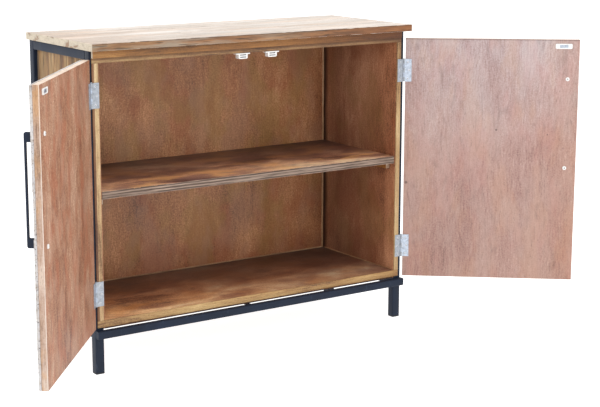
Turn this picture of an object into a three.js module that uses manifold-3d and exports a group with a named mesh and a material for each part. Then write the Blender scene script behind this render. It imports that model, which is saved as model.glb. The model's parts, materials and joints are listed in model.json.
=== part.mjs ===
// Two-door sideboard. A welded square-tube steel frame carries a plywood carcass with pale wood
// edging, a top of three boards, one shelf and two overlay doors on butt hinges.
// Millimetres, +Z up, the front faces -Y, and the doors stand open.
// The origin is on the floor, below the centre of the open sideboard's bounding box.

import * as THREE from 'three';
import { mergeVertices } from 'three/addons/utils/BufferGeometryUtils.js';
import Module from 'manifold-3d';

const wasm = await Module();
wasm.setup();

// ---------------------------------------------------------------- driving dimensions

const GAP = 0.3; // clearance between pieces that touch
const FRAME = { width: 890, depth: 316, height: 753 }; // outside of the posts, floor to post tops
const TUBE = { size: 22, wall: 1.5, corner: 2.5 };
const FRONT_RAIL = { depth: 15, height: 18.7, bottom: 87.3 }; // flat tube in front of the posts
const BOTTOM_RAIL_TOP = 107.2;
const FOOT_CAP = { height: 3, plug: 12, fit: 0.4 };

const TOP = { thickness: 17, sideOverhang: 5, frontOverhang: 27, backOverhang: 6, boards: 3 };
const PANEL = { bottom: 20.5, ceiling: 16, shelf: 18.8, back: 4 };
const CARCASS = { floor: 128, ceiling: 724.4, sideInner: 24, sideOuter: 9.5 };
const SHELF = { top: 430.6, frontSetback: 1, leftGap: 1.5 };
const CLEAT = { width: 12, height: 15, start: 20, end: 300 };

// The stiles' edges are set in from the frame's outer face by different amounts on the two sides.
const EDGING = {
  thickness: 2.7, height: 16, outerSetback: { left: 5.1, right: 9.7 }, innerSetback: { left: 20.8, right: 22.6 },
};
const APRON = { depth: 8, bottom: 736, leftSetback: 4, rightSetback: 14 };
const LUG = { width: 15, fromCentre: -31, front: -13, back: 14 };

const LEFT_DOOR_OPEN_DEG = 129.4;
const RIGHT_DOOR_OPEN_DEG = 140.5;
const DOOR = { bottom: 111.5, top: 733.5, hingeEdge: 3.5, freeEdge: 441, core: 14 };
// Face boards of each door from the top down: height and thickness of the uneven old planks.
const FACE_BOARDS = [
  { height: 214, thickness: 6.3 },
  { height: 95, thickness: 5.2 },
  { height: 257, thickness: 6.3 },
  { height: 56, thickness: 5.6 },
];
const HANDLE = {
  length: 235, belowDoorTop: 97, fromFreeEdge: 28, projection: 20, width: 8, bar: 4.2, foot: 20, corner: 4,
};

const HINGE = { height: 58, leafWidth: 19.5, leaf: 1.2, leafGap: 0.8, barrel: 2.75, bore: 1.7, pin: 1.4 };
const HINGE_KNUCKLES = 5;
const HINGE_FROM_DOOR_END = 81.5; // hinge centre to the door's top or bottom edge
const HINGE_INSET = 2; // hinge axis inboard of the post's outer face

const CATCH = { length: 38, depth: 14, height: 13.2, base: 2.6, body: 25, fromCentre: 41.5, front: -4.3 };
const STRIKE = { length: 42, height: 13, thickness: 1.5, belowDoorTop: 10 };

// ---------------------------------------------------------------- derived places

const HALF_WIDTH = FRAME.width / 2;
const POST_BACK = TUBE.size;
const REAR_POST_FRONT = FRAME.depth - TUBE.size;
const TOP_RAIL_BOTTOM = FRAME.height - TUBE.size;
const BOTTOM_RAIL_BOTTOM = BOTTOM_RAIL_TOP - TUBE.size;
const UNDER_TOP = FRAME.height - GAP;
const EDGING_FRONT = -GAP - EDGING.thickness;
const HINGE_AXIS_Y = EDGING_FRONT - GAP - HINGE.leaf - HINGE.leafGap / 2;
const DOOR_INNER_FACE = -(HINGE.leafGap / 2 + HINGE.leaf + GAP); // from the hinge axis, door closed

const SIDES = [
  { name: 'left', sign: -1, openDeg: LEFT_DOOR_OPEN_DEG },
  { name: 'right', sign: 1, openDeg: RIGHT_DOOR_OPEN_DEG },
];

// ---------------------------------------------------------------- materials

function finish(color, roughness, metalness = 0) {
  return new THREE.MeshStandardMaterial({ color, roughness, metalness });
}

const BLACK_STEEL = finish(0x384049, 0.45, 0.3);
const BLACK_PLASTIC = finish(0x24262a, 0.6);
const TOP_WOOD = finish(0xe4d5c9, 0.55);
const APRON_WOOD = finish(0xab8456, 0.55);
const EDGE_WOOD = finish(0xba9e7a, 0.6);
const CARCASS_PLY = finish(0x8b6448, 0.6);
const SHELF_PLY = finish(0x7a5848, 0.6);
const DOOR_PLY = finish(0xc5a098, 0.65);
const FACE_WOOD = finish(0xd8cfc4, 0.7);
const ZINC = finish(0xb9c3cd, 0.35, 0.9);
const WHITE_PLASTIC = finish(0xf0efeb, 0.5);

// ---------------------------------------------------------------- geometry helpers

const middle = ([low, high]) => (low + high) / 2;
const extent = ([low, high]) => high - low;
const ordered = (a, b) => [Math.min(a, b), Math.max(a, b)];

// X span of a piece lying between two distances inboard of the frame's outer face on one side.
function inboard(side, near, far) {
  return ordered(side.sign * (HALF_WIDTH - near), side.sign * (HALF_WIDTH - far));
}

function meshAt(name, geometry, material, spans) {
  const mesh = new THREE.Mesh(geometry, material);
  mesh.name = name;
  mesh.position.set(middle(spans.x), middle(spans.y), middle(spans.z));
  return mesh;
}

function block(name, material, spans) {
  const geometry = new THREE.BoxGeometry(extent(spans.x), extent(spans.y), extent(spans.z));
  return meshAt(name, geometry, material, spans);
}

function roundedRectangle(width, height, radius) {
  const shape = new THREE.Shape();
  const x = width / 2 - radius;
  const y = height / 2 - radius;
  shape.absarc(x, y, radius, 0, Math.PI / 2);
  shape.absarc(-x, y, radius, Math.PI / 2, Math.PI);
  shape.absarc(-x, -y, radius, Math.PI, 1.5 * Math.PI);
  shape.absarc(x, -y, radius, 1.5 * Math.PI, 2 * Math.PI);
  return shape;
}

function extrudeCentred(shape, depth, curveSegments = 2) {
  const geometry = new THREE.ExtrudeGeometry(shape, { depth, curveSegments, bevelEnabled: false });
  return geometry.translate(0, 0, -depth / 2);
}

// Outline given as [x, y] corners.
function polygon(corners) {
  return new THREE.Shape(corners.map(([x, y]) => new THREE.Vector2(x, y)));
}

// Open-ended steel tube that fills the spans and runs along one axis.
function tube(name, along, spans) {
  const [across, up] = { x: ['z', 'y'], y: ['x', 'z'], z: ['x', 'y'] }[along];
  const width = extent(spans[across]);
  const height = extent(spans[up]);
  const section = roundedRectangle(width, height, TUBE.corner);
  const inner = TUBE.corner - TUBE.wall;
  section.holes.push(roundedRectangle(width - 2 * TUBE.wall, height - 2 * TUBE.wall, inner));
  const geometry = extrudeCentred(section, extent(spans[along]));
  if (along === 'x') geometry.rotateY(Math.PI / 2);
  if (along === 'y') geometry.rotateX(Math.PI / 2);
  return meshAt(name, geometry, BLACK_STEEL, spans);
}

function toSolid(geometry) {
  const bare = geometry.clone();
  bare.deleteAttribute('normal');
  bare.deleteAttribute('uv');
  const merged = mergeVertices(bare, 1e-4);
  return new wasm.Manifold(new wasm.Mesh({
    numProp: 3,
    vertProperties: new Float32Array(merged.attributes.position.array),
    triVerts: new Uint32Array(merged.index.array),
  }));
}

function toGeometry(solid) {
  const { vertProperties, triVerts } = solid.getMesh();
  const geometry = new THREE.BufferGeometry();
  geometry.setAttribute('position', new THREE.BufferAttribute(vertProperties, 3));
  geometry.setIndex(new THREE.BufferAttribute(triVerts, 1));
  geometry.computeVertexNormals();
  return geometry;
}

const union = (geometries) => geometries.map(toSolid).reduce((sum, solid) => sum.add(solid));

function uprightCylinder(radius, bottom, top, segments) {
  const geometry = new THREE.CylinderGeometry(radius, radius, top - bottom, segments);
  return geometry.rotateX(Math.PI / 2).translate(0, 0, (top + bottom) / 2);
}

// ---------------------------------------------------------------- steel frame

function post(side, place, front) {
  return tube(`post_${place}_${side.name}`, 'z', {
    x: inboard(side, 0, TUBE.size),
    y: [front, front + TUBE.size],
    z: [FOOT_CAP.height + GAP, UNDER_TOP],
  });
}

// Plastic insert: a square sole under the tube wall and a plug inside the tube.
function footCap(side, place, front) {
  const plugSize = TUBE.size - 2 * TUBE.wall - 2 * FOOT_CAP.fit;
  const sole = extrudeCentred(roundedRectangle(TUBE.size, TUBE.size, TUBE.corner), FOOT_CAP.height);
  sole.translate(0, 0, FOOT_CAP.height / 2);
  const plugTop = FOOT_CAP.height + FOOT_CAP.plug;
  const plug = new THREE.BoxGeometry(plugSize, plugSize, plugTop).translate(0, 0, plugTop / 2);
  return meshAt(`foot_cap_${place}_${side.name}`, toGeometry(union([sole, plug])), BLACK_PLASTIC, {
    x: inboard(side, 0, TUBE.size),
    y: [front, front + TUBE.size],
    z: [0, 0],
  });
}

function sideRail(side, level, top) {
  return tube(`rail_${level}_${side.name}`, 'y', {
    x: inboard(side, 0, TUBE.size),
    y: [POST_BACK + GAP, REAR_POST_FRONT - GAP],
    z: [top - TUBE.size, top],
  });
}

function rearRail(level, top) {
  const reach = HALF_WIDTH - TUBE.size - GAP;
  return tube(`rail_${level}_rear`, 'x', {
    x: [-reach, reach],
    y: [REAR_POST_FRONT, FRAME.depth],
    z: [top - TUBE.size, top],
  });
}

function frontRail() {
  return tube('rail_front', 'x', {
    x: [-HALF_WIDTH, HALF_WIDTH],
    y: [-GAP - FRONT_RAIL.depth, -GAP],
    z: [FRONT_RAIL.bottom, FRONT_RAIL.bottom + FRONT_RAIL.height],
  });
}

// Flat steel lug on the front rail that holds up the middle of the carcass floor.
function supportLug() {
  return block('support_lug', BLACK_STEEL, {
    x: [LUG.fromCentre - LUG.width / 2, LUG.fromCentre + LUG.width / 2],
    y: [LUG.front, LUG.back],
    z: [FRONT_RAIL.bottom + FRONT_RAIL.height + GAP, BOTTOM_RAIL_TOP],
  });
}

function steelFrame() {
  const pieces = [frontRail(), rearRail('top', UNDER_TOP), rearRail('bottom', BOTTOM_RAIL_TOP), supportLug()];
  for (const side of SIDES) {
    pieces.push(post(side, 'front', 0), footCap(side, 'front', 0));
    pieces.push(post(side, 'rear', REAR_POST_FRONT), footCap(side, 'rear', REAR_POST_FRONT));
    pieces.push(sideRail(side, 'top', UNDER_TOP), sideRail(side, 'bottom', BOTTOM_RAIL_TOP));
  }
  return pieces;
}

// ---------------------------------------------------------------- wooden top

function topBoards() {
  const pieces = [];
  const front = -TOP.frontOverhang;
  const pitch = (FRAME.depth + TOP.backOverhang - front + GAP) / TOP.boards;
  const reach = HALF_WIDTH + TOP.sideOverhang;
  for (let i = 0; i < TOP.boards; i++) {
    pieces.push(block(`top_board_${i + 1}`, TOP_WOOD, {
      x: [-reach, reach],
      y: [front + i * pitch, front + (i + 1) * pitch - GAP],
      z: [FRAME.height, FRAME.height + TOP.thickness],
    }));
  }
  return pieces;
}

function apron() {
  return block('front_apron', APRON_WOOD, {
    x: [-HALF_WIDTH + APRON.leftSetback, HALF_WIDTH - APRON.rightSetback],
    y: [EDGING_FRONT - GAP - APRON.depth, EDGING_FRONT - GAP],
    z: [APRON.bottom, UNDER_TOP],
  });
}

// ---------------------------------------------------------------- carcass

// Side panel rebated front and back so that it sits between the posts and also covers them inside.
function sidePanel(side) {
  const outer = HALF_WIDTH - CARCASS.sideOuter;
  const rebate = HALF_WIDTH - TUBE.size - GAP;
  const inner = HALF_WIDTH - CARCASS.sideInner;
  const outline = [
    [inner, 0], [rebate, 0], [rebate, POST_BACK + GAP], [outer, POST_BACK + GAP],
    [outer, REAR_POST_FRONT - GAP], [rebate, REAR_POST_FRONT - GAP], [rebate, FRAME.depth], [inner, FRAME.depth],
  ].map(([x, y]) => [side.sign * x, y]);
  const zSpan = [BOTTOM_RAIL_TOP + GAP, TOP_RAIL_BOTTOM - 2 * GAP];
  const geometry = extrudeCentred(polygon(outline), extent(zSpan));
  return meshAt(`side_panel_${side.name}`, geometry, CARCASS_PLY, { x: [0, 0], y: [0, 0], z: zSpan });
}

// Ceiling panel with a rebate along its rear edge for the rear top rail.
function ceilingPanel() {
  const reach = HALF_WIDTH - CARCASS.sideInner - GAP;
  const railFront = REAR_POST_FRONT - GAP;
  const underRail = TOP_RAIL_BOTTOM - 2 * GAP;
  const top = CARCASS.ceiling + PANEL.ceiling;
  const profile = polygon([
    [0, CARCASS.ceiling], [FRAME.depth, CARCASS.ceiling], [FRAME.depth, underRail],
    [railFront, underRail], [railFront, top], [0, top],
  ]);
  const geometry = extrudeCentred(profile, 2 * reach).rotateX(Math.PI / 2).rotateZ(Math.PI / 2);
  return meshAt('ceiling_panel', geometry, CARCASS_PLY, { x: [0, 0], y: [0, 0], z: [0, 0] });
}

function panels() {
  const reach = HALF_WIDTH - CARCASS.sideInner - GAP;
  const floor = block('bottom_panel', SHELF_PLY, {
    x: [-reach, reach],
    y: [0, FRAME.depth],
    z: [CARCASS.floor - PANEL.bottom, CARCASS.floor],
  });
  const back = block('back_panel', CARCASS_PLY, {
    x: [-HALF_WIDTH + 3, HALF_WIDTH - 3],
    y: [FRAME.depth + GAP, FRAME.depth + GAP + PANEL.back],
    z: [BOTTOM_RAIL_BOTTOM + 2, UNDER_TOP - 2],
  });
  return [floor, back, ceilingPanel(), ...SIDES.map(sidePanel)];
}

// Pale strips on the carcass front: full-width head and foot strips with the stiles between them.
function edging() {
  const { left, right } = EDGING.outerSetback;
  const x = [left - HALF_WIDTH, HALF_WIDTH - right];
  const y = [EDGING_FRONT, -GAP];
  const foot = block('edging_bottom', EDGE_WOOD, { x, y, z: [CARCASS.floor - EDGING.height, CARCASS.floor] });
  const head = block('edging_top', EDGE_WOOD, { x, y, z: [CARCASS.ceiling, CARCASS.ceiling + EDGING.height] });
  const stiles = SIDES.map((side) => block(`edging_${side.name}`, EDGE_WOOD, {
    x: inboard(side, EDGING.outerSetback[side.name], EDGING.innerSetback[side.name]),
    y,
    z: [CARCASS.floor + GAP, CARCASS.ceiling - GAP],
  }));
  return [foot, head, ...stiles];
}

function shelf() {
  const reach = HALF_WIDTH - CARCASS.sideInner - GAP;
  const board = block('shelf', SHELF_PLY, {
    x: [-reach + SHELF.leftGap, reach],
    y: [SHELF.frontSetback, FRAME.depth],
    z: [SHELF.top - PANEL.shelf, SHELF.top],
  });
  const underside = SHELF.top - PANEL.shelf - GAP;
  const cleats = SIDES.map((side) => block(`shelf_cleat_${side.name}`, APRON_WOOD, {
    x: inboard(side, CARCASS.sideInner + GAP, CARCASS.sideInner + GAP + CLEAT.width),
    y: [CLEAT.start, CLEAT.end],
    z: [underside - CLEAT.height, underside],
  }));
  return [board, ...cleats];
}

// Magnetic catch seen from the front: a screw flange with a rounded magnet case hanging from it.
function magneticCatch(side) {
  const bottom = -CATCH.height;
  const half = CATCH.body / 2;
  const round = 3;
  const outline = new THREE.Shape();
  outline.moveTo(-CATCH.length / 2, 0);
  outline.lineTo(-CATCH.length / 2, -CATCH.base);
  outline.lineTo(-half, -CATCH.base);
  outline.absarc(-half + round, bottom + round, round, Math.PI, 1.5 * Math.PI);
  outline.absarc(half - round, bottom + round, round, 1.5 * Math.PI, 2 * Math.PI);
  outline.lineTo(half, -CATCH.base);
  outline.lineTo(CATCH.length / 2, -CATCH.base);
  outline.lineTo(CATCH.length / 2, 0);
  const geometry = extrudeCentred(outline, CATCH.depth).rotateX(Math.PI / 2);
  const top = CARCASS.ceiling - GAP;
  const x = side.sign * CATCH.fromCentre;
  const y = [CATCH.front, CATCH.front + CATCH.depth];
  return meshAt(`magnetic_catch_${side.name}`, geometry, WHITE_PLASTIC, { x: [x, x], y, z: [top, top] });
}

// ---------------------------------------------------------------- hinges

// A leaf in the hinge's own axes: the pin on Z, the plate along +X at the back (+Y) side.
// The plate stops short of the barrel, and a tab joins it to each knuckle of its own.
function hingeLeaf(knuckles) {
  const plateY = HINGE.leafGap / 2 + HINGE.leaf / 2;
  const plateStart = HINGE.barrel + GAP;
  const plate = new THREE.BoxGeometry(HINGE.leafWidth - plateStart, HINGE.leaf, HINGE.height);
  plate.translate((HINGE.leafWidth + plateStart) / 2, plateY, 0);
  const parts = [plate];
  const pitch = HINGE.height / HINGE_KNUCKLES;
  for (const index of knuckles) {
    const bottom = -HINGE.height / 2 + index * pitch + GAP / 2;
    const top = bottom + pitch - GAP;
    parts.push(uprightCylinder(HINGE.barrel, bottom, top, 20));
    const tab = new THREE.BoxGeometry(plateStart + 0.2, HINGE.leaf, top - bottom);
    parts.push(tab.translate((plateStart + 0.2) / 2, plateY, (bottom + top) / 2));
  }
  const bore = toSolid(uprightCylinder(HINGE.bore, -HINGE.height, HINGE.height, 16));
  return toGeometry(union(parts).subtract(bore));
}

function hingePin() {
  const half = HINGE.height / 2;
  const profile = [
    [0, -half], [HINGE.pin, -half], [HINGE.pin, half + 0.3], [HINGE.barrel - 0.6, half + 0.3],
    [HINGE.barrel - 0.6, half + 1], [HINGE.pin, half + 1.6], [0, half + 1.6],
  ].map(([radius, height]) => new THREE.Vector2(radius, height));
  return new THREE.LatheGeometry(profile, 16).rotateX(Math.PI / 2);
}

const HINGE_HEIGHTS = [
  { name: 'lower', z: DOOR.bottom + HINGE_FROM_DOOR_END },
  { name: 'upper', z: DOOR.top - HINGE_FROM_DOOR_END },
];

// Turns a leaf from its own axes so that its plate points inboard from one side's hinge axis.
// The frame leaf keeps the plate at the back, and the door leaf has it at the front.
function placeLeaf(name, knuckles, side, atBack, z) {
  const mesh = new THREE.Mesh(hingeLeaf(knuckles), ZINC);
  mesh.name = name;
  mesh.position.z = z;
  const plateAlreadyInboard = side.sign < 0;
  if (plateAlreadyInboard !== atBack) mesh.rotation.x = Math.PI;
  if (!plateAlreadyInboard) mesh.rotation.z = Math.PI;
  return mesh;
}

// ---------------------------------------------------------------- doors

function handle(side) {
  const { length, projection, bar, foot, corner, width } = HANDLE;
  const shape = new THREE.Shape();
  shape.moveTo(0, 0);
  shape.absarc(-projection + corner, corner, corner, 1.5 * Math.PI, Math.PI, true);
  shape.absarc(-projection + corner, length - corner, corner, Math.PI, Math.PI / 2, true);
  shape.lineTo(0, length);
  shape.lineTo(0, length - foot);
  shape.lineTo(-projection + bar, length - foot);
  shape.lineTo(-projection + bar, foot);
  shape.lineTo(0, foot);
  // The outline lies in the plane of depth and height: first axis to Y, second to Z.
  const geometry = extrudeCentred(shape, width, 4).rotateX(Math.PI / 2).rotateZ(Math.PI / 2);
  const boardFace = DOOR_INNER_FACE - DOOR.core - GAP - Math.max(...FACE_BOARDS.map((b) => b.thickness));
  const x = -side.sign * (DOOR.freeEdge - HANDLE.fromFreeEdge);
  const z = DOOR.top - HANDLE.belowDoorTop - length;
  const y = boardFace - GAP;
  return meshAt(`handle_${side.name}`, geometry, BLACK_STEEL, { x: [x, x], y: [y, y], z: [z, z] });
}

function faceBoards(side, xSpan) {
  const back = DOOR_INNER_FACE - DOOR.core - GAP;
  let top = DOOR.top;
  return FACE_BOARDS.map((board, i) => {
    const bottom = top - board.height;
    const mesh = block(`door_board_${side.name}_${i + 1}`, FACE_WOOD, {
      x: xSpan,
      y: [back - board.thickness, back],
      z: [bottom + (i < FACE_BOARDS.length - 1 ? GAP : 0), top],
    });
    top = bottom;
    return mesh;
  });
}

function strikePlate(side) {
  const fromAxis = HALF_WIDTH - HINGE_INSET - CATCH.fromCentre;
  const outline = roundedRectangle(STRIKE.length, STRIKE.height, 3);
  const geometry = extrudeCentred(outline, STRIKE.thickness).rotateX(Math.PI / 2);
  const x = -side.sign * fromAxis;
  const y = DOOR_INNER_FACE + GAP + STRIKE.thickness / 2;
  const z = DOOR.top - STRIKE.belowDoorTop - STRIKE.height / 2;
  return meshAt(`strike_plate_${side.name}`, geometry, WHITE_PLASTIC, { x: [x, x], y: [y, y], z: [z, z] });
}

// The closed door and its hinge leaves, in a group on the hinge axis, swung open about it.
function door(side) {
  const group = new THREE.Group();
  const xSpan = ordered(-side.sign * DOOR.hingeEdge, -side.sign * DOOR.freeEdge);
  group.add(block(`door_panel_${side.name}`, DOOR_PLY, {
    x: xSpan,
    y: [DOOR_INNER_FACE - DOOR.core, DOOR_INNER_FACE],
    z: [DOOR.bottom, DOOR.top],
  }));
  group.add(...faceBoards(side, xSpan), strikePlate(side), handle(side));
  for (const { name, z } of HINGE_HEIGHTS) {
    group.add(placeLeaf(`hinge_${name}_${side.name}_door_leaf`, [1, 3], side, false, z));
  }
  group.position.set(side.sign * (HALF_WIDTH - HINGE_INSET), HINGE_AXIS_Y, 0);
  group.rotation.z = side.sign * THREE.MathUtils.degToRad(side.openDeg);
  return group;
}

// Frame leaves and pins, in a group on the same axis that stays with the carcass.
function frameHinges(side) {
  const group = new THREE.Group();
  for (const { name, z } of HINGE_HEIGHTS) {
    group.add(placeLeaf(`hinge_${name}_${side.name}_frame_leaf`, [0, 2, 4], side, true, z));
    const pin = new THREE.Mesh(hingePin(), ZINC);
    pin.name = `hinge_${name}_${side.name}_pin`;
    pin.position.z = z;
    group.add(pin);
  }
  group.position.set(side.sign * (HALF_WIDTH - HINGE_INSET), HINGE_AXIS_Y, 0);
  return group;
}

// ---------------------------------------------------------------- assembly

const assembly = new THREE.Group();
assembly.add(...steelFrame(), ...topBoards(), apron(), ...panels(), ...edging(), ...shelf());
for (const side of SIDES) {
  assembly.add(magneticCatch(side), frameHinges(side), door(side));
}

const centre = new THREE.Box3().setFromObject(assembly, true).getCenter(new THREE.Vector3());
assembly.position.set(-centre.x, -centre.y, 0);

const sideboard = new THREE.Group();
sideboard.add(assembly);

export default sideboard;
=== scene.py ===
import json
import math

import bmesh
import bpy
from mathutils import Matrix, Vector, noise


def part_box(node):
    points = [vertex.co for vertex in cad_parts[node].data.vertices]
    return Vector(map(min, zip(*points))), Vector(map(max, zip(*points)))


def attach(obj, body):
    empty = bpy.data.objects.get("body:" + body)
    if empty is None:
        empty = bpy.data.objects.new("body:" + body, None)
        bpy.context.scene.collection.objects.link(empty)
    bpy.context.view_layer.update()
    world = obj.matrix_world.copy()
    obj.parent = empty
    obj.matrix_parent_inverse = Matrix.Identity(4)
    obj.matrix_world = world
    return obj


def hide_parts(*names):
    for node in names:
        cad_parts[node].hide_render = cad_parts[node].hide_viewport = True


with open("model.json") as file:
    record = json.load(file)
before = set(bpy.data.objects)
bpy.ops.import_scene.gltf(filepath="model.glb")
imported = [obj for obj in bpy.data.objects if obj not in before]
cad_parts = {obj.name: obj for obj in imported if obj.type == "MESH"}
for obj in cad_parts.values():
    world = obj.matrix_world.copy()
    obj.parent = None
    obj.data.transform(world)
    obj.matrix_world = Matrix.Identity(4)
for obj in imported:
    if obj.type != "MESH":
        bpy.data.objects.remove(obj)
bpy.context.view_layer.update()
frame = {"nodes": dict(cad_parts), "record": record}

# All lengths are metres in the row frame. X, Y and Z are 0, 1 and 2.
MM = 0.001
X, Y, Z = 0, 1, 2
SIDES = ("left", "right")
CAD_GAP = 0.3 * MM  # the CAD's clearance between pieces that touch
RECORD = frame["record"]
NODE_BODY = {n: b for b, nodes in RECORD["behaviour"]["bodies"].items() for n in nodes}


# ---------------------------------------------------------------- places

def door_joint(side):
    return next(j for j in RECORD["behaviour"]["joints"] if j["name"] == f"{side}_door_hinge")


def opened_from_closed(side):
    """The matrix that swings a closed door to where it stands in the row frame."""
    joint = door_joint(side)
    pivot = Vector(joint["pos_m"])
    angle = math.radians(-joint["range_deg"][0])
    turn = Matrix.Rotation(angle, 4, Vector(joint["axis"]))
    return Matrix.Translation(pivot) @ turn @ Matrix.Translation(-pivot)


# Door pieces are built with the doors closed, where they lie square, and then swung open.
PLACE = {
    "cabinet": Matrix.Identity(4),
    "left_door": opened_from_closed("left"),
    "right_door": opened_from_closed("right"),
}


def others(axis):
    """The two other axes, in X, Y, Z order."""
    return [i for i in range(3) if i != axis]


def square_box(node):
    """Lowest and highest corner of a CAD node, with its door closed."""
    inverse = PLACE[NODE_BODY[node]].inverted()
    points = [inverse @ v.co for v in frame["nodes"][node].data.vertices]
    low = Vector([min(p[i] for p in points) for i in range(3)])
    high = Vector([max(p[i] for p in points) for i in range(3)])
    return low, high


# ---------------------------------------------------------------- shader building

class Shader:
    """A node material with short calls for the nodes that the finishes share."""

    def __init__(self, name):
        self.material = bpy.data.materials.new(name)
        self.material.use_nodes = True
        self.tree = self.material.node_tree
        self.tree.nodes.clear()

    def node(self, kind, inputs, **settings):
        made = self.tree.nodes.new("ShaderNode" + kind)
        for key, value in settings.items():
            setattr(made, key, value)
        for key, value in inputs.items():
            if isinstance(value, bpy.types.NodeSocket):
                self.tree.links.new(value, made.inputs[key])
            else:
                made.inputs[key].default_value = value
        return made

    def grain(self):
        """Metres along the grain, across it, and through the thickness."""
        return self.node("Attribute", {}, attribute_name="grain").outputs["Vector"]

    def span(self, axis):
        """How far along the piece a point is, from 0 to 1; axis is X for along the grain."""
        whole = self.node("Attribute", {}, attribute_name="span").outputs["Vector"]
        return self.node("SeparateXYZ", {"Vector": whole}).outputs[axis]

    def local(self):
        """Metres in the object's own axes."""
        return self.node("TexCoord", {}).outputs["Object"]

    def stretch(self, vector, scale):
        return self.node("VectorMath", {0: vector, 1: scale}, operation="MULTIPLY").outputs[0]

    def shift(self, vector, y, z):
        offset = self.node("CombineXYZ", {"Y": y, "Z": z}).outputs[0]
        return self.node("VectorMath", {0: vector, 1: offset}, operation="ADD").outputs[0]

    def noise(self, vector, scale, detail=2.0, rough=0.5, distortion=0.0):
        inputs = {"Vector": self.stretch(vector, scale), "Scale": 1.0, "Detail": detail,
                  "Roughness": rough, "Distortion": distortion}
        return self.node("TexNoise", inputs).outputs["Fac"]

    def math(self, operation, a, b=0.0):
        return self.node("Math", {0: a, 1: b}, operation=operation).outputs[0]

    def add(self, a, b):
        return self.math("ADD", a, b)

    def times(self, a, b):
        return self.math("MULTIPLY", a, b)

    def swing(self, value, reach):
        """Turns a 0..1 value into one that swings round 0 by about the reach."""
        return self.times(self.add(value, -0.5), reach)

    def spread(self, value, low, high, to_low=0.0, to_high=1.0):
        """Maps low..high to to_low..to_high, smoothly and with the ends clamped."""
        inputs = {"Value": value, "From Min": low, "From Max": high,
                  "To Min": to_low, "To Max": to_high}
        return self.node("MapRange", inputs, interpolation_type="SMOOTHSTEP").outputs[0]

    def ramp(self, value, stops):
        made = self.node("ValToRGB", {"Fac": value})
        elements = made.color_ramp.elements
        while len(elements) < len(stops):
            elements.new(0.5)
        for element, (position, colour) in zip(elements, stops):
            element.position = position
            element.color = linear(colour)
        return made.outputs["Color"]

    def mix(self, amount, a, b, blend="MIX"):
        made = self.node("Mix", {}, data_type="RGBA", blend_type=blend)
        for socket, value in ((made.inputs[0], amount), (made.inputs[6], a), (made.inputs[7], b)):
            if isinstance(value, bpy.types.NodeSocket):
                self.tree.links.new(value, socket)
            elif isinstance(value, tuple):
                socket.default_value = linear(value)
            else:
                socket.default_value = value
        return made.outputs[2]

    def veils(self, colour, veils):
        """Darkens or tints the colour from one end of the piece to the other: (axis, raggedness, stops);
        most veils here are painted shade.
        """
        for axis, ragged, stops in veils:
            clouds = self.noise(self.grain(), (5.0, 8.0, 8.0), 4.0, 0.6)
            place = self.add(self.span(axis), self.swing(clouds, ragged))
            colour = self.mix(1.0, colour, self.ramp(place, stops), "MULTIPLY")
        return colour

    def bump(self, height, strength, distance):
        inputs = {"Height": height, "Strength": strength, "Distance": distance}
        return self.node("Bump", inputs).outputs["Normal"]

    def surface(self, **inputs):
        """The Principled shader; its input names are given with _ for the space."""
        named = {key.replace("_", " "): value for key, value in inputs.items()}
        shader = self.node("BsdfPrincipled", named)
        self.node("OutputMaterial", {"Surface": shader.outputs["BSDF"]})
        return self.material


def linear(colour):
    """An sRGB colour of 0 to 255 as the linear colour that nodes hold."""
    def channel(value):
        value /= 255
        return value / 12.92 if value <= 0.04045 else ((value + 0.055) / 1.055) ** 2.4
    return (*[channel(v) for v in colour], 1.0)


def even_stops(tones, low, high):
    """Ramp stops with the tones evenly between low and high."""
    last = len(tones) - 1
    return [(low + (high - low) * i / last, tone) for i, tone in enumerate(tones)]


# ---------------------------------------------------------------- wood finishes

def per_metre(length, width):
    """Noise scales for features with a length and a width in mm."""
    return (1000.0 / length, 1000.0 / width, 1000.0 / width)


DOOR_SHAPE = 0.7  # a door's width as a share of its height


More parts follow.
